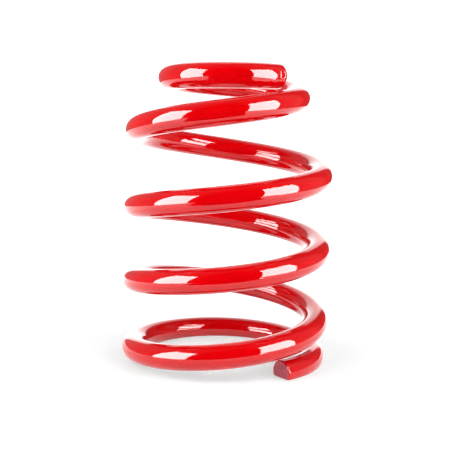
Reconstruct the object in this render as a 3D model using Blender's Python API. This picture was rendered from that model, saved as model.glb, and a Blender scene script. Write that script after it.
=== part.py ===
"""Car suspension coil spring: one round steel bar wound into a right-hand coil and painted red.

The bar has a closed, ground-flat bottom coil, three open active turns, and a small-radius top coil that is
cut off square. The bottom coil and the top coil are rigid seats. The active turns are divided into
short arcs, one object each, so that every arc can travel its own share of the spring's compression.

Frame: metres, +Z up, origin on the coil's axis in the plane of the ground seat. Winding angles are in
degrees, anticlockwise seen from above and counted from +X, and they keep growing from the bottom tip up.
"""

import math

import bmesh
import bpy
from mathutils import Vector

MM = 0.001

# The bar
WIRE_DIAMETER = 14.0 * MM
WIRE_RADIUS = WIRE_DIAMETER / 2
BEVEL_RESOLUTION = 6  # sixteen sides round the bar
CUT_GAP = 0.3 * MM

# Plan of the coil: each arc runs up to its winding angle and meets the next with a common tangent
TIP_ANGLE = -53.0
TAIL_RADIUS = 52.4 * MM
TAIL_END = 120.0
COIL_RADIUS = 53.2 * MM
COIL_END = 1246.0
REDUCING_RADIUS = 46.1 * MM
REDUCING_END = 1440.0
PIGTAIL_RADIUS = 38.0 * MM
PIGTAIL_END = 1560.0
TOP_RADIUS = 34.6 * MM
TOP_END = 1750.0
STRAIGHT_END = 6.0 * MM

# Rise of the bar's centre, per full turn
TIP_HEIGHT = 2.8 * MM
CLOSED_PITCH = 3.2 * MM
OPENING = (97.0, 272.0)
LOWER_PITCH = 41.0 * MM
UPPER_PITCH = 44.4 * MM
CLOSING = (1364.0, 1635.0)
LEVEL_PITCH = 3.4 * MM

# Where the rigid seats end and the active turns run between them
ACTIVE_START = 300
ACTIVE_TURNS = 3
ARCS_PER_TURN = 12
ARC_ANGLE = 360 // ARCS_PER_TURN
ACTIVE_END = ACTIVE_START + 360 * ACTIVE_TURNS

STEP_ANGLE = 7.5
CLEAR_ANGLE = 2.0  # no point of the centre line comes this close to the end of a stretch
LEAD = 1.0 * MM  # level run at each cut, so that the cut face stands upright
WELD = 0.01 * MM

PAINT_RED = (0.75, 0.004, 0.006, 1.0)
PAINT_ROUGHNESS = 0.08
PAINT_COAT = 0.8


def clear_scene():
    for found in list(bpy.data.objects):
        bpy.data.objects.remove(found, do_unlink=True)


def add_collection(name):
    collection = bpy.data.collections.new(name)
    bpy.context.scene.collection.children.link(collection)
    return collection


def paint(name):
    """Glossy red paint, the same on every stretch of the bar."""
    material = bpy.data.materials.new(name)
    material.use_nodes = True
    shader = material.node_tree.nodes["Principled BSDF"]
    shader.inputs["Base Color"].default_value = PAINT_RED
    shader.inputs["Metallic"].default_value = 0.0
    shader.inputs["Roughness"].default_value = PAINT_ROUGHNESS
    shader.inputs["Coat Weight"].default_value = PAINT_COAT
    return material


def outward(angle):
    """Level direction away from the centre of the bend at a winding angle."""
    return Vector((math.cos(math.radians(angle)), math.sin(math.radians(angle)), 0.0))


def forward(angle):
    """Level direction of the bar at a winding angle."""
    return Vector((-math.sin(math.radians(angle)), math.cos(math.radians(angle)), 0.0))


def plan_arcs():
    """(end angle, radius, centre) of each arc. The main coil's centre is the axis."""
    reducing_centre = outward(COIL_END) * (COIL_RADIUS - REDUCING_RADIUS)
    pigtail_centre = reducing_centre + outward(REDUCING_END) * (REDUCING_RADIUS - PIGTAIL_RADIUS)
    top_centre = pigtail_centre + outward(PIGTAIL_END) * (PIGTAIL_RADIUS - TOP_RADIUS)
    return [
        (TAIL_END, TAIL_RADIUS, outward(TAIL_END) * (COIL_RADIUS - TAIL_RADIUS)),
        (COIL_END, COIL_RADIUS, Vector((0.0, 0.0, 0.0))),
        (REDUCING_END, REDUCING_RADIUS, reducing_centre),
        (PIGTAIL_END, PIGTAIL_RADIUS, pigtail_centre),
        (TOP_END, TOP_RADIUS, top_centre),
    ]


def smooth_area(angle, start, end):
    """Area up to an angle under a cosine ramp that rises from 0 at start to 1 at end."""
    if angle <= start:
        return 0.0
    if angle >= end:
        return angle - (start + end) / 2
    share = math.pi * (angle - start) / (end - start)
    return (angle - start) / 2 - (end - start) / (2 * math.pi) * math.sin(share)


def straight_area(angle, start, end):
    """Area up to an angle under a straight ramp that rises from 0 at start to 1 at end."""
    if angle <= start:
        return 0.0
    if angle >= end:
        return angle - (start + end) / 2
    return (angle - start) ** 2 / (2 * (end - start))


def height(angle):
    """Height of the bar's centre over the seat plane."""
    rise = CLOSED_PITCH * (angle - TIP_ANGLE)
    rise += (LOWER_PITCH - CLOSED_PITCH) * smooth_area(angle, *OPENING)
    rise += (UPPER_PITCH - LOWER_PITCH) * straight_area(angle, OPENING[1], CLOSING[0])
    rise += (LEVEL_PITCH - UPPER_PITCH) * smooth_area(angle, *CLOSING)
    return TIP_HEIGHT + rise / 360


def centre(angle):
    """Point on the bar's centre line at a winding angle."""
    for end, radius, middle in plan_arcs():
        if angle <= end:
            break
    point = middle + outward(angle) * radius
    point.z = height(angle)
    return point


def angles_between(first, last):
    """Multiples of the step angle that lie well between two winding angles."""
    number = math.ceil((first + CLEAR_ANGLE) / STEP_ANGLE)
    found = []
    while number * STEP_ANGLE <= last - CLEAR_ANGLE:
        found.append(number * STEP_ANGLE)
        number += 1
    return found


def bar_points(first, last, straight=0.0):
    """Centre line from one winding angle to another, with a short level lead at both ends."""
    start = centre(first) + forward(first) * (CUT_GAP / 2)
    points = [start, start + forward(first) * LEAD]
    points += [centre(angle) for angle in angles_between(first, last)]
    if straight:
        bend_end = centre(last)
        points.append(bend_end)
        points.append(bend_end + forward(last) * straight)
    else:
        end = centre(last) - forward(last) * (CUT_GAP / 2)
        points += [end - forward(last) * LEAD, end]
    return points


def bar(name, points, collection, material):
    """A stretch of round bar along its centre line, with flat closed ends."""
    curve = bpy.data.curves.new(name, "CURVE")
    curve.dimensions = "3D"
    curve.twist_mode = "Z_UP"
    curve.bevel_depth = WIRE_RADIUS
    curve.bevel_resolution = BEVEL_RESOLUTION
    curve.use_fill_caps = True
    spline = curve.splines.new("POLY")
    spline.points.add(len(points) - 1)
    for control, point in zip(spline.points, points):
        control.co = (*point, 1.0)
    spline.use_smooth = True
    curve.materials.append(material)
    stretch = bpy.data.objects.new(name, curve)
    collection.objects.link(stretch)
    return stretch


def to_mesh(stretch, collection):
    """The same stretch as a closed mesh, its end caps welded on."""
    bpy.context.view_layer.update()
    evaluated = stretch.evaluated_get(bpy.context.evaluated_depsgraph_get())
    mesh = bpy.data.meshes.new_from_object(evaluated)
    shell = bmesh.new()
    shell.from_mesh(mesh)
    bmesh.ops.remove_doubles(shell, verts=shell.verts, dist=WELD)
    bmesh.ops.recalc_face_normals(shell, faces=shell.faces)
    shell.to_mesh(mesh)
    shell.free()
    name = stretch.name
    solid = bpy.data.objects.new(name + "_solid", mesh)
    solid.matrix_world = stretch.matrix_world
    bpy.data.objects.remove(stretch, do_unlink=True)
    solid.name = name
    collection.objects.link(solid)
    return solid


def grind_flat(solid, cutters):
    """Takes off everything under the seat plane, which leaves the flat that the spring stands on."""
    side = 4 * COIL_RADIUS
    bpy.ops.mesh.primitive_cube_add(size=1.0)
    stone = bpy.context.active_object
    stone.name = "grinding_plane"
    stone.data.transform(stone.matrix_world)
    for vertex in stone.data.vertices:
        vertex.co.x *= side
        vertex.co.y *= side
        vertex.co.z = (vertex.co.z - 0.5) * WIRE_DIAMETER
    for home in list(stone.users_collection):
        home.objects.unlink(stone)
    cutters.objects.link(stone)
    stone.hide_render = True
    stone.display_type = "WIRE"
    cut = solid.modifiers.new("ground_flat", "BOOLEAN")
    cut.operation = "DIFFERENCE"
    cut.solver = "EXACT"
    cut.object = stone


def smooth_bar(solid):
    solid.data.shade_smooth()
    solid.data.set_sharp_from_angle(angle=math.radians(40))


def main():
    clear_scene()
    spring = add_collection("coil_spring")
    cutters = add_collection("cutters")

    end_paint = paint("end_coil_paint")
    active_paint = paint("active_coil_paint")

    lower = bar("lower_end_coil", bar_points(TIP_ANGLE, ACTIVE_START), spring, end_paint)
    lower = to_mesh(lower, spring)
    smooth_bar(lower)
    grind_flat(lower, cutters)

    for turn in range(ACTIVE_TURNS):
        for arc in range(ARCS_PER_TURN):
            first = ACTIVE_START + 360 * turn + ARC_ANGLE * arc
            name = f"active_turn_{turn + 1}_arc_{arc + 1:02d}"
            piece = bar(name, bar_points(first, first + ARC_ANGLE), spring, active_paint)
            smooth_bar(to_mesh(piece, spring))

    upper = bar("upper_end_coil", bar_points(ACTIVE_END, TOP_END, STRAIGHT_END), spring, end_paint)
    smooth_bar(to_mesh(upper, spring))


main()
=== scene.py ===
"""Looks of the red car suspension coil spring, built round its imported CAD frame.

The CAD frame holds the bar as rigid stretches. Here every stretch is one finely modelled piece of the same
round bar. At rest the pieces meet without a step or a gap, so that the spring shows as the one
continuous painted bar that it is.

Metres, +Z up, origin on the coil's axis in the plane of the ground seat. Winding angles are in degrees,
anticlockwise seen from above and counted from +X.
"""

import math

import bpy
import numpy as np
from mathutils import Matrix, Vector


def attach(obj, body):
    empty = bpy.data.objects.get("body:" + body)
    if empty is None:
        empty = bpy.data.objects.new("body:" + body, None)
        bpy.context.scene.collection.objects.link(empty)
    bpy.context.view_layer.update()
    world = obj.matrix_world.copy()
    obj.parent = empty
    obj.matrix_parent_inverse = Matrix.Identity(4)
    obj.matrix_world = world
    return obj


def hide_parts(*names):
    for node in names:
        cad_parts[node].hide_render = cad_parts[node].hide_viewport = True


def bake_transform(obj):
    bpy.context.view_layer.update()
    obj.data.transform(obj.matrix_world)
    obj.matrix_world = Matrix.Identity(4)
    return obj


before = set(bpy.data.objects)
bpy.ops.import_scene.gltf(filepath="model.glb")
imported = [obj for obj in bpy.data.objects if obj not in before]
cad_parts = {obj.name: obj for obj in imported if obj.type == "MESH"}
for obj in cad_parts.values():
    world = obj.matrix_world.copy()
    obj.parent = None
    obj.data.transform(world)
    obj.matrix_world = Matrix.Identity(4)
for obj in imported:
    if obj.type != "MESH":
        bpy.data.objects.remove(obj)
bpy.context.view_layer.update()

MM = 0.001

# The bar, as in the CAD
WIRE_RADIUS = 7.0 * MM
TIP_ANGLE = -53.0
TAIL_RADIUS = 52.4 * MM
TAIL_END = 120.0
COIL_RADIUS = 53.2 * MM
COIL_END = 1246.0
REDUCING_RADIUS = 46.1 * MM
REDUCING_END = 1440.0
PIGTAIL_RADIUS = 38.0 * MM
PIGTAIL_END = 1560.0
TOP_RADIUS = 34.6 * MM
TOP_END = 1750.0
STRAIGHT_END = 6.0 * MM
TIP_HEIGHT = 2.8 * MM
CLOSED_PITCH = 3.2 * MM
OPENING = (97.0, 272.0)
LOWER_PITCH = 41.0 * MM
UPPER_PITCH = 44.4 * MM
CLOSING = (1364.0, 1635.0)
LEVEL_PITCH = 3.4 * MM
ACTIVE_START = 300
ACTIVE_TURNS = 3
ARCS_PER_TURN = 12
ARC_ANGLE = 360 // ARCS_PER_TURN
ACTIVE_END = ACTIVE_START + 360 * ACTIVE_TURNS

# How the compression spreads: the slope changes over the first and the last quarter turn
EASE_ANGLE = 90
LOWER_BODY = "lower_seat_body"
UPPER_BODY = "upper_end_body"

# Mesh
RING_ANGLE = 1.5  # winding angle between two rings of points
ARC_POINTS = 56  # round the bar, apart from the ground flat
FLAT_POINTS = 9
FILLET_POINTS = 4
SEAT_FILLET = 0.45 * MM
LEAST_FLAT = 0.004 * MM
TIP_ROUND = 0.9 * MM
TOP_ROUND = 1.3 * MM
ROUND_RINGS = 8

# Mark of the hanging hook. Places along the bar count every bend at the coil's radius, so TOP_PLACE is the
# top end's place on that scale and not the bar's true length
TOP_PLACE = math.radians(TOP_END - TIP_ANGLE) * COIL_RADIUS + STRAIGHT_END
MARK_PLACE = TOP_PLACE - 3.2 * MM
MARK_LENGTH = 3.4 * MM
MARK_HEIGHT = 5.6 * MM
MARK_RISE = 0.7 * MM

# Paint: the red varies slowly between two shades
RED_DEEP = (0.80, 0.0006, 0.0028, 1.0)
RED_BRIGHT = (0.87, 0.0010, 0.0034, 1.0)
CUT_DEEP = (0.50, 0.045, 0.075, 1.0)
CUT_BRIGHT = (0.66, 0.075, 0.11, 1.0)

# Camera: angles in degrees
LENS = 67.95
CAMERA_PLACE = (-5.3 * MM, -499.9 * MM, 140.1 * MM)
CAMERA_PITCH = 7.30
CAMERA_YAW = 0.75
CAMERA_ROLL = -1.53

# Stage sheets: the floor, and the mirrored table top with a dark bay in front
FLOOR_SIZE = 6.0
FLOOR_HEIGHT = -0.05 * MM
TABLE_SIZE = (0.45, 0.9)
TABLE_HEIGHT = -0.1 * MM
TABLE_FRONT = -0.165
WING_FRONT = -0.6
BAY_BACK = 0.13
BAY_FRONT = 0.38
PANEL_DISTANCE = 1.0
FILL_DISTANCE = 1.0
FILL_AIM = (0.0, 0.0, 0.085)

# Light strengths
# The floor's painted glow next to the spring, kept lower there than far off: painted shade round its base
FLOOR_GLOW_AT_BASE = 0.36
TABLE_NEAR = 1.15
TABLE_FAR = 2.6
WALL_LIGHT = 0.38
BACK_LIGHT = 3.0
AMBIENT = 0.05
CAMERA_WHITE = 1.1
PANEL_LIGHT = 19.0
FILL_POWER = 12.6


# ---------------------------------------------------------------- the bar's centre line


def outward(angle):
    """Level direction away from the centre of the bend at a winding angle."""
    return np.array([math.cos(math.radians(angle)), math.sin(math.radians(angle)), 0.0])


def forward(angle):
    """Level direction of the bar at a winding angle."""
    return np.array([-math.sin(math.radians(angle)), math.cos(math.radians(angle)), 0.0])


REDUCING_CENTRE = outward(COIL_END) * (COIL_RADIUS - REDUCING_RADIUS)
PIGTAIL_CENTRE = REDUCING_CENTRE + outward(REDUCING_END) * (REDUCING_RADIUS - PIGTAIL_RADIUS)
PLAN_ARCS = [
    (TAIL_END, TAIL_RADIUS, outward(TAIL_END) * (COIL_RADIUS - TAIL_RADIUS)),
    (COIL_END, COIL_RADIUS, np.zeros(3)),
    (REDUCING_END, REDUCING_RADIUS, REDUCING_CENTRE),
    (PIGTAIL_END, PIGTAIL_RADIUS, PIGTAIL_CENTRE),
    (TOP_END, TOP_RADIUS, PIGTAIL_CENTRE + outward(PIGTAIL_END) * (PIGTAIL_RADIUS - TOP_RADIUS)),
]


def smooth_area(angle, start, end):
    """Area up to an angle under a cosine ramp that rises from 0 at start to 1 at end."""
    if angle <= start:
        return 0.0
    if angle >= end:
        return angle - (start + end) / 2
    share = math.pi * (angle - start) / (end - start)
    return (angle - start) / 2 - (end - start) / (2 * math.pi) * math.sin(share)


def straight_area(angle, start, end):
    """Area up to an angle under a straight ramp that rises from 0 at start to 1 at end."""
    if angle <= start:
        return 0.0
    if angle >= end:
        return angle - (start + end) / 2
    return (angle - start) ** 2 / (2 * (end - start))


def height(angle):
    """Height of the bar's centre over the seat plane."""
    rise = CLOSED_PITCH * (angle - TIP_ANGLE)
    rise += (LOWER_PITCH - CLOSED_PITCH) * smooth_area(angle, *OPENING)
    rise += (UPPER_PITCH - LOWER_PITCH) * straight_area(angle, OPENING[1], CLOSING[0])
    rise += (LEVEL_PITCH - UPPER_PITCH) * smooth_area(angle, *CLOSING)
    return TIP_HEIGHT + rise / 360


def bend_at(angle):
    """(radius, centre) of the plan arc that a winding angle lies on."""
    for end, radius, middle in PLAN_ARCS:
        if angle <= end:
            break
    return radius, middle


def centre(angle):
    radius, middle = bend_at(angle)
    return middle + outward(angle) * radius + np.array([0.0, 0.0, height(angle)])


def slope(angle):
    """Rise of the centre line for each metre of level run."""
    step = 0.01
    return (height(angle + step) - height(angle - step)) / (math.radians(2 * step) * bend_at(angle)[0])


def share_of_compression(angle):
    """How much of the spring's compression has built up by a winding angle, from 0 to 1."""
    start, end = ACTIVE_START, ACTIVE_END
    built = smooth_area(angle, start, start + EASE_ANGLE) - smooth_area(angle, end - EASE_ANGLE, end)
    return built / (end - start - EASE_ANGLE)


# ---------------------------------------------------------------- cross-sections


def section(radius, seat):
    """Outline of the bar's section and its normals, as (outward, up) pairs from the bar's centre.

    seat is the centre's height over the ground flat. The outline starts at the middle of the flat and runs
    round by the outside, and a fillet joins the flat to the round.
    """
    low = min(seat, radius - LEAST_FLAT)
    reach = math.sqrt((radius - SEAT_FILLET) ** 2 - (low - SEAT_FILLET) ** 2)
    corner = math.atan2(SEAT_FILLET - low, reach)
    points, normals = [], []
    half_flat = FLAT_POINTS // 2
    for k in range(half_flat + 1):
        points.append((reach * k / half_flat, -low))
        normals.append((0.0, -1.0))
    for k in range(1, FILLET_POINTS):
        turn = -math.pi / 2 + (corner + math.pi / 2) * k / FILLET_POINTS
        normals.append((math.cos(turn), math.sin(turn)))
        out, up = SEAT_FILLET * math.cos(turn), SEAT_FILLET * math.sin(turn)
        points.append((reach + out, SEAT_FILLET - low + up))
    for k in range(ARC_POINTS // 2 + 1):
        turn = corner + (math.pi / 2 - corner) * k / (ARC_POINTS // 2)
        normals.append((math.cos(turn), math.sin(turn)))
        points.append((radius * math.cos(turn), radius * math.sin(turn)))
    points, normals = np.array(points), np.array(normals)
    mirror = np.array([-1.0, 1.0])
    return np.vstack([points, points[-2:0:-1] * mirror]), np.vstack([normals, normals[-2:0:-1] * mirror])


class Bar:
    """Rings of points along one stretch of the bar, from its lower end up."""

    def __init__(self):
        self.points = []
        self.normals = []
        self.places = []
        self.shares = []

    def ring(self, angle, along=0.0, inset=0.0, lean=0.0):
        """Adds a ring at a winding angle, or along metres past it on the straight that follows on.

        inset narrows the ring and lean turns its normals towards the bar's end, for a rounded rim: +1 is
        towards the top end and -1 towards the tip.
        """
        rise = slope(angle)
        tangent = (forward(angle) + np.array([0.0, 0.0, rise])) / math.hypot(1.0, rise)
        side = outward(angle)
        up = np.cross(side, tangent)
        middle = centre(angle) + tangent * along
        outline, turned = section(WIRE_RADIUS - inset, middle[2] / up[2])
        around = side * turned[:, :1] + up * turned[:, 1:]
        self.points.append(middle + side * outline[:, :1] + up * outline[:, 1:])
        self.normals.append(around * math.sqrt(1 - lean**2) + tangent * lean)
        length = math.radians(angle - TIP_ANGLE) * COIL_RADIUS + along
        self.places.append(np.column_stack([np.full(len(outline), length), outline]))
        self.shares.append(np.full(len(outline), share_of_compression(angle)))

    def rings_between(self, first, last):
        steps = round((last - first) / RING_ANGLE)
        for k in range(steps + 1):
            self.ring(first + (last - first) * k / steps)

    def rim(self, angle, along, rounding, towards):
        """Rings that round off an end. towards is -1 at the tip and +1 at the top end."""
        rings = []
        for k in range(ROUND_RINGS):
            turn = math.pi / 2 * k / ROUND_RINGS
            back, inset = rounding * (1 - math.cos(turn)), rounding * (1 - math.sin(turn))
            rings.append((back, inset, math.cos(turn)))
        for back, inset, lean in rings if towards < 0 else rings[::-1]:
            self.ring(angle, along - towards * back, inset, towards * lean)

    def mesh(self, name, start_slot=0, end_slot=0):
        """A closed mesh with exact normals on its round faces and flat ones on its two end faces."""
        around = len(self.points[0])
        rings = len(self.points)
        faces = []
        for i in range(rings - 1):
            for k in range(around):
                k2 = (k + 1) % around
                this, following = i * around, (i + 1) * around
                faces.append((this + k, following + k, following + k2, this + k2))
        last = (rings - 1) * around
        faces.append(tuple(range(around)))
        faces.append(tuple(range(last + around - 1, last - 1, -1)))
        mesh = bpy.data.meshes.new(name)
        mesh.from_pydata(np.vstack(self.points).tolist(), [], faces)
        mesh.shade_smooth()
        normals = [np.vstack(self.normals)[[v for face in faces[:-2] for v in face]]]
        for face in (-2, -1):
            normals.append(np.tile(np.array(mesh.polygons[face].normal), (around, 1)))
        mesh.normals_split_custom_set(np.vstack(normals).tolist())
        place = mesh.attributes.new("bar_place", "FLOAT_VECTOR", "POINT")
        place.data.foreach_set("vector", np.vstack(self.places).astype(np.float32).ravel())
        mesh.polygons[-2].material_index = start_slot
        mesh.polygons[-1].material_index = end_slot
        return mesh


def add_piece(name, bar, node, materials, **slots):
    mesh = bar.mesh(name, **slots)
    for material in materials:
        mesh.materials.append(material)
    piece = bpy.data.objects.new(name, mesh)
    bpy.context.scene.collection.objects.link(piece)
    piece.visible_diffuse = False  # it throws no red light on the floor or on other pieces
    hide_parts(node)
    return piece


# ---------------------------------------------------------------- materials


class Nodes:
    """Short calls for one material's node tree."""

    def __init__(self, name):
        self.material = bpy.data.materials.new(name)
        self.material.use_nodes = True
        self.tree = self.material.node_tree
        self.shader = self.tree.nodes["Principled BSDF"]

    def add(self, kind, values=(), **settings):
        node = self.tree.nodes.new(kind)
        for key, value in settings.items():
            setattr(node, key, value)
        for key, value in dict(values).items():
            if isinstance(value, bpy.types.NodeSocket):
                self.tree.links.new(value, node.inputs[key])
            else:
                node.inputs[key].default_value = value
        return node

    def link(self, output, name):
        self.tree.links.new(output, self.shader.inputs[name])

    def place(self):
        """Where a point lies on the bar as if it were straight: along it, outward and up, in metres."""
        return self.add("ShaderNodeAttribute", attribute_name="bar_place").outputs["Vector"]

    def noise(self, vector, scale, detail=2.0, roughness=0.5):
        values = {"Vector": vector, "Scale": scale, "Detail": detail, "Roughness": roughness}
        return self.add("ShaderNodeTexNoise", values).outputs["Fac"]

    def ramp(self, value, low, high, out_low=0.0, out_high=1.0, clamp=True):
        values = {"Value": value, "From Min": low, "From Max": high, "To Min": out_low, "To Max": out_high}
        return self.add("ShaderNodeMapRange", values, clamp=clamp).outputs["Result"]

    def stretched(self, vector, factors):
        return self.add("ShaderNodeMapping", {"Vector": vector, "Scale": factors}).outputs["Vector"]


def hook_mark(nodes, place):
    """Height of the small oval ring that the hanging hook leaves in the powder, close to the top end."""

    def from_middle(value, middle, size):
        """-1 at the oval's lower end, 0 at its middle and +1 at its upper end."""
        return nodes.ramp(value, middle - size / 2, middle + size / 2, -1.0, 1.0, False)

    split = nodes.add("ShaderNodeSeparateXYZ", {0: place})
    along = from_middle(split.outputs["X"], MARK_PLACE, MARK_LENGTH)
    across = from_middle(split.outputs["Z"], MARK_RISE, MARK_HEIGHT)
    oval = nodes.add("ShaderNodeCombineXYZ", {"X": along, "Y": across}).outputs[0]
    reach = nodes.add("ShaderNodeVectorMath", {0: oval}, operation="LENGTH").outputs["Value"]
    off = nodes.add("ShaderNodeMath", {0: reach, 1: 1.0}, operation="SUBTRACT").outputs[0]
    off = nodes.add("ShaderNodeMath", {0: off}, operation="ABSOLUTE").outputs[0]
    ridge = nodes.ramp(off, 0.0, 0.32, 1.0, 0.0)
    outside = nodes.add("ShaderNodeMath", {0: split.outputs["Y"], 1: 0.0}, operation="GREATER_THAN")
    both = {0: ridge, 1: outside.outputs[0]}
    return nodes.add("ShaderNodeMath", both, operation="MULTIPLY").outputs[0]


def glossy_red():
    """Wet-looking red powder coat: slight orange peel, faint streaks along the bar and a few dust nibs."""
    nodes = Nodes("glossy_red_paint")
    place = nodes.place()
    cloud = nodes.noise(place, 38.0, 3.0)
    colour = nodes.add("ShaderNodeMix", {"Factor": nodes.ramp(cloud, 0.3, 0.7)}, data_type="RGBA")
    colour.inputs["A"].default_value = RED_DEEP
    colour.inputs["B"].default_value = RED_BRIGHT
    nodes.link(colour.outputs["Result"], "Base Color")

    streaks = nodes.noise(nodes.stretched(place, (14.0, 1.0, 1.0)), 90.0, 2.0)
    mist = nodes.noise(place, 900.0, 3.0)
    rough = nodes.add("ShaderNodeMath", {0: nodes.ramp(streaks, 0.3, 0.7, 0.25, 0.32)}, operation="ADD")
    nodes.tree.links.new(nodes.ramp(mist, 0.3, 0.7, 0.0, 0.05), rough.inputs[1])
    nodes.link(rough.outputs[0], "Roughness")

    peel = nodes.noise(nodes.stretched(place, (0.6, 1.0, 1.0)), 330.0, 1.5)
    waves = nodes.noise(nodes.stretched(place, (0.35, 1.0, 1.0)), 120.0, 1.0)
    cells = nodes.add("ShaderNodeTexVoronoi", {"Vector": place, "Scale": 130.0}, feature="F1")
    nibs = nodes.ramp(cells.outputs["Distance"], 0.0, 0.06, 1.0, 0.0)
    bump = nodes.add("ShaderNodeBump", {"Height": waves, "Strength": 1.0, "Distance": 0.009 * MM})
    mark = hook_mark(nodes, place)
    for height_map, strength, rise in ((peel, 1.0, 0.006), (nibs, 0.5, 0.02), (mark, 1.0, 0.1)):
        values = {"Height": height_map, "Strength": strength, "Distance": rise * MM}
        values["Normal"] = bump.outputs["Normal"]
        bump = nodes.add("ShaderNodeBump", values)
    nodes.link(bump.outputs["Normal"], "Normal")
    nodes.link(bump.outputs["Normal"], "Coat Normal")
    nodes.shader.inputs["Specular IOR Level"].default_value = 0.0
    nodes.shader.inputs["Coat Weight"].default_value = 1.0
    nodes.shader.inputs["Coat Roughness"].default_value = 0.035
    nodes.shader.inputs["Coat IOR"].default_value = 1.5
    return nodes.material


def cut_face_red():
    """Paint on a sawn face: thinner and duller, with the saw's fine grain showing through."""
    nodes = Nodes("cut_face_red_paint")
    place = nodes.place()
    grain = nodes.noise(place, 2600.0, 4.0, 0.7)
    blotch = nodes.noise(place, 420.0, 2.0)
    colour = nodes.add("ShaderNodeMix", {"Factor": nodes.ramp(blotch, 0.3, 0.7)}, data_type="RGBA")
    colour.inputs["A"].default_value = CUT_DEEP
    colour.inputs["B"].default_value = CUT_BRIGHT
    nodes.link(colour.outputs["Result"], "Base Color")
    nodes.link(nodes.ramp(grain, 0.3, 0.7, 0.32, 0.55), "Roughness")
    bump = nodes.add("ShaderNodeBump", {"Height": grain, "Strength": 1.0, "Distance": 0.03 * MM})
    nodes.link(bump.outputs["Normal"], "Normal")
    nodes.shader.inputs["IOR"].default_value = 1.5
    return nodes.material


# ---------------------------------------------------------------- the object


def build_spring():
    red = glossy_red()
    cut = cut_face_red()

    lower = Bar()
    lower.rim(TIP_ANGLE, 0.0, TIP_ROUND, -1)
    lower.rings_between(TIP_ANGLE + math.degrees(TIP_ROUND / TAIL_RADIUS), ACTIVE_START)
    piece = add_piece("lower_end_bar", lower, "lower_end_coil", [red, cut], start_slot=1)
    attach(piece, LOWER_BODY)

    for turn in range(ACTIVE_TURNS):
        for arc in range(ARCS_PER_TURN):
            first = ACTIVE_START + 360 * turn + ARC_ANGLE * arc
            stretch = Bar()
            stretch.rings_between(first, first + ARC_ANGLE)
            node = f"active_turn_{turn + 1}_arc_{arc + 1:02d}"
            piece = add_piece(f"bar_turn_{turn + 1}_arc_{arc + 1:02d}", stretch, node, [red])
            flex(piece)

    upper = Bar()
    upper.rings_between(ACTIVE_END, TOP_END)
    for k in range(1, 4):
        upper.ring(TOP_END, (STRAIGHT_END - TOP_ROUND) * k / 4)
    upper.rim(TOP_END, STRAIGHT_END, TOP_ROUND, 1)
    piece = add_piece("upper_end_bar", upper, "upper_end_coil", [red])
    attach(piece, UPPER_BODY)


def flex(piece):
    """Bakes the piece's placement into its points. It is attached to no body, neither the seats nor its own
    CAD body, and doesn't bend with the compression.
    """
    start = (0.0, 0.0, height(ACTIVE_START))
    end = (0.0, 0.0, height(ACTIVE_END))
    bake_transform(piece)


# ---------------------------------------------------------------- camera, floor and light

def set_camera():
    data = bpy.data.cameras.new("camera")
    data.sensor_width = 36.0
    data.lens = LENS
    data.clip_start = 0.01
    data.clip_end = 50.0
    camera = bpy.data.objects.new("camera", data)
    bpy.context.scene.collection.objects.link(camera)
    pitch, yaw, roll = (math.radians(a) for a in (CAMERA_PITCH, CAMERA_YAW, CAMERA_ROLL))
    level = math.cos(pitch)
    look = Vector((math.sin(yaw) * level, math.cos(yaw) * level, -math.sin(pitch)))
    right = Vector((math.cos(yaw), -math.sin(yaw), 0.0))
    up = right.cross(look)
    rolled = right * math.cos(roll) - up * math.sin(roll)
    right, up = rolled, right * math.sin(roll) + up * math.cos(roll)
    turn = Matrix((right, up, -look)).transposed()
    camera.matrix_world = Matrix.Translation(CAMERA_PLACE) @ turn.to_4x4()
    bpy.context.scene.camera = camera


def add_sheet(name, corners, material):
    mesh = bpy.data.meshes.new(name)
    mesh.from_pydata([tuple(corner) for corner in corners], [], [(0, 1, 2, 3)])
    mesh.materials.append(material)
    sheet = bpy.data.objects.new(name, mesh)
    bpy.context.scene.collection.objects.link(sheet)
    return sheet


def add_level_sheet(name, low, high, z, material):
    corners = [(low[0], low[1], z), (high[0], low[1], z), (high[0], high[1], z), (low[0], high[1], z)]
    return add_sheet(name, corners, material)


def floor_glow_with_shade_at_base():
    nodes = Nodes("floor_glow_with_shade_at_base")
    nodes.shader.inputs["Base Color"].default_value = (0.93, 0.93, 0.93, 1.0)
    nodes.shader.inputs["Roughness"].default_value = 0.6
    nodes.shader.inputs["Specular IOR Level"].default_value = 0.2
    nodes.shader.inputs["Emission Color"].default_value = (1.0, 1.0, 1.0, 1.0)
    # Painted glow and painted shade: the floor glows to the camera, weakly within 0.08 m of the spring's axis
    # and fully beyond 0.3 m, so it is painted darker round the spring's base.
    place = nodes.add("ShaderNodeTexCoord").outputs["Object"]
    reach = nodes.add("ShaderNodeVectorMath", {0: place}, operation="LENGTH").outputs["Value"]
    white = nodes.ramp(reach, 0.08, 0.3, FLOOR_GLOW_AT_BASE, 1.0)
    seen = nodes.add("ShaderNodeLightPath").outputs["Is Camera Ray"]
    glow = nodes.add("ShaderNodeMath", {0: white, 1: seen}, operation="MULTIPLY").outputs[0]
    nodes.link(glow, "Emission Strength")
    return nodes.material


def glowing(name):
    """A light that is seen only where it is mirrored: it isn't sampled as a lamp."""
    nodes = Nodes(name)
    nodes.tree.nodes.remove(nodes.shader)
    glow = nodes.add("ShaderNodeEmission")
    nodes.tree.links.new(glow.outputs[0], nodes.tree.nodes["Material Output"].inputs["Surface"])
    nodes.material.cycles.emission_sampling = "NONE"
    return nodes, glow


def only_mirrored(sheet):
    sheet.visible_camera = False
    sheet.visible_diffuse = False
    sheet.visible_shadow = False
    sheet.visible_transmission = False


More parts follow.
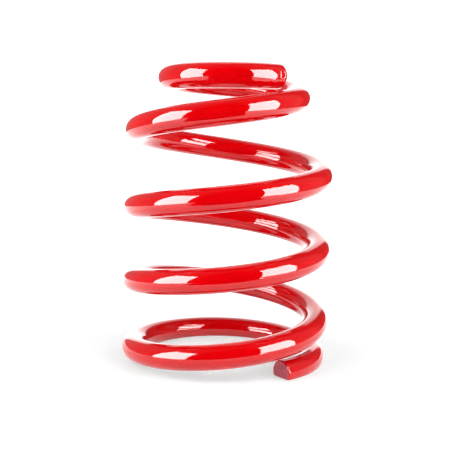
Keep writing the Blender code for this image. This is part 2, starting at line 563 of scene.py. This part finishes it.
def add_panel(name, facing, first, last, low, high, strength):
    """An upright softbox seen in the paint. Angles go round the coil from its front, + to the right."""
    nodes, glow = glowing(name + "_white")
    glow.inputs["Strength"].default_value = strength
    a = math.radians(facing)
    back = Vector((math.sin(a), -math.cos(a), 0.0)) * PANEL_DISTANCE
    side = Vector((math.cos(a), math.sin(a), 0.0)) * PANEL_DISTANCE
    ends = [back + side * math.tan(math.radians(angle - facing)) for angle in (first, last)]
    round_trip = ((ends[0], low), (ends[1], low), (ends[1], high), (ends[0], high))
    corners = [(end.x, end.y, z) for end, z in round_trip]
    only_mirrored(add_sheet(name, corners, nodes.material))


def add_fill(name, azimuth, width, low, high, power):
    """A broad lamp that lights the paint's colour and isn't mirrored."""
    a = math.radians(azimuth)
    back = Vector((math.sin(a), -math.cos(a), 0.0))
    data = bpy.data.lights.new(name, "AREA")
    data.shape = "RECTANGLE"
    data.size = width
    data.size_y = high - low
    data.energy = power
    light = bpy.data.objects.new(name, data)
    bpy.context.scene.collection.objects.link(light)
    light.location = back * FILL_DISTANCE + Vector((0, 0, (low + high) / 2))
    light.rotation_mode = "QUATERNION"
    light.rotation_quaternion = (Vector(FILL_AIM) - light.location).to_track_quat("-Z", "Y")
    light.visible_glossy = False
    light.visible_camera = False


def add_table():
    """The white table top as the paint mirrors it: brighter away from the spring's own shadow.

    In front of the spring there is a dark bay in it, where the camera stands.
    """
    nodes, glow = glowing("table_white")
    place = nodes.add("ShaderNodeTexCoord").outputs["Object"]
    reach = nodes.add("ShaderNodeVectorMath", {0: place}, operation="LENGTH").outputs["Value"]
    nodes.tree.links.new(nodes.ramp(reach, 0.05, 0.3, TABLE_NEAR, TABLE_FAR), glow.inputs["Strength"])
    right, back = TABLE_SIZE
    top = add_level_sheet("table_top", (-right, TABLE_FRONT), (right, back), TABLE_HEIGHT, nodes.material)
    only_mirrored(top)
    for name, side in (("table_wing_left", -1), ("table_wing_right", 1)):
        inner, outer = (BAY_BACK, TABLE_FRONT), (BAY_FRONT, WING_FRONT)
        plan = (inner, (right, TABLE_FRONT), (right, WING_FRONT), outer)
        only_mirrored(add_sheet(name, [(side * x, y, TABLE_HEIGHT) for x, y in plan], nodes.material))


def set_world():
    """White to the camera and even for the paint's colour. In the gloss it is a studio, dark in front."""
    world = bpy.data.worlds.new("studio")
    bpy.context.scene.world = world
    world.use_nodes = True
    tree = world.node_tree
    tree.nodes.clear()

    def math_node(operation, a, b=None):
        node = tree.nodes.new("ShaderNodeMath")
        node.operation = operation
        for socket, value in zip(node.inputs, (a, b)):
            if isinstance(value, bpy.types.NodeSocket):
                tree.links.new(value, socket)
            elif value is not None:
                socket.default_value = value
        return node.outputs[0]

    def ramp(value, low, high, out_low, out_high, kind="LINEAR"):
        node = tree.nodes.new("ShaderNodeMapRange")
        node.interpolation_type = kind
        tree.links.new(value, node.inputs["Value"])
        limits = {"From Min": low, "From Max": high, "To Min": out_low, "To Max": out_high}
        for name, number in limits.items():
            node.inputs[name].default_value = number
        return node.outputs[0]

    def background(strength):
        node = tree.nodes.new("ShaderNodeBackground")
        node.inputs["Color"].default_value = (1.0, 1.0, 1.0, 1.0)
        if isinstance(strength, bpy.types.NodeSocket):
            tree.links.new(strength, node.inputs["Strength"])
        else:
            node.inputs["Strength"].default_value = strength
        return node.outputs[0]

    split = tree.nodes.new("ShaderNodeSeparateXYZ")
    tree.links.new(tree.nodes.new("ShaderNodeTexCoord").outputs["Generated"], split.inputs[0])
    x, y, z = split.outputs
    aside = math_node("MULTIPLY_ADD", math_node("ABSOLUTE", x), 0.6)
    tree.links.new(y, aside.node.inputs[2])
    walls = ramp(aside, -0.5, 0.6, 0.0, WALL_LIGHT)
    level_squared = math_node("SUBTRACT", 1.0, math_node("MULTIPLY", z, z))
    level = math_node("SQRT", math_node("ADD", level_squared, 0.02))
    rearward = math_node("DIVIDE", y, level)
    to_the_right = math_node("GREATER_THAN", x, 0.0)
    rear_right = math_node("MULTIPLY", ramp(rearward, 0.45, 0.65, 0.0, 0.7), to_the_right)
    walls = math_node("MULTIPLY", walls, math_node("SUBTRACT", 1.0, rear_right))
    behind = ramp(rearward, 0.89, 0.94, 0.0, 1.0, "SMOOTHSTEP")
    fading = ramp(z, 0.1, 0.85, BACK_LIGHT, 0.25 * BACK_LIGHT)
    studio = math_node("ADD", walls, math_node("MULTIPLY", behind, fading))

    path = tree.nodes.new("ShaderNodeLightPath")
    gloss = tree.nodes.new("ShaderNodeMixShader")
    tree.links.new(path.outputs["Is Glossy Ray"], gloss.inputs["Fac"])
    tree.links.new(background(AMBIENT), gloss.inputs[1])
    tree.links.new(background(studio), gloss.inputs[2])
    mix = tree.nodes.new("ShaderNodeMixShader")
    tree.links.new(path.outputs["Is Camera Ray"], mix.inputs["Fac"])
    tree.links.new(gloss.outputs[0], mix.inputs[1])
    tree.links.new(background(CAMERA_WHITE), mix.inputs[2])
    out = tree.nodes.new("ShaderNodeOutputWorld")
    tree.links.new(mix.outputs[0], out.inputs["Surface"])


def set_stage():
    low, high = (-FLOOR_SIZE, -FLOOR_SIZE), (FLOOR_SIZE, FLOOR_SIZE)
    floor = add_level_sheet("floor", low, high, FLOOR_HEIGHT, floor_glow_with_shade_at_base())
    floor.visible_glossy = False
    add_table()
    add_panel("panel_left", -75.0, -82.5, -42.3, -0.25, 1.12, PANEL_LIGHT)
    add_panel("panel_right", 50.0, 36.0, 77.5, -0.25, 1.14, PANEL_LIGHT)
    add_fill("fill_left", -66.0, 1.3, 0.1, 1.2, FILL_POWER)
    add_fill("fill_right", 64.0, 1.3, 0.1, 1.2, FILL_POWER)


bpy.context.scene.view_settings.view_transform = "Standard"
set_camera()
set_world()
set_stage()
build_spring()
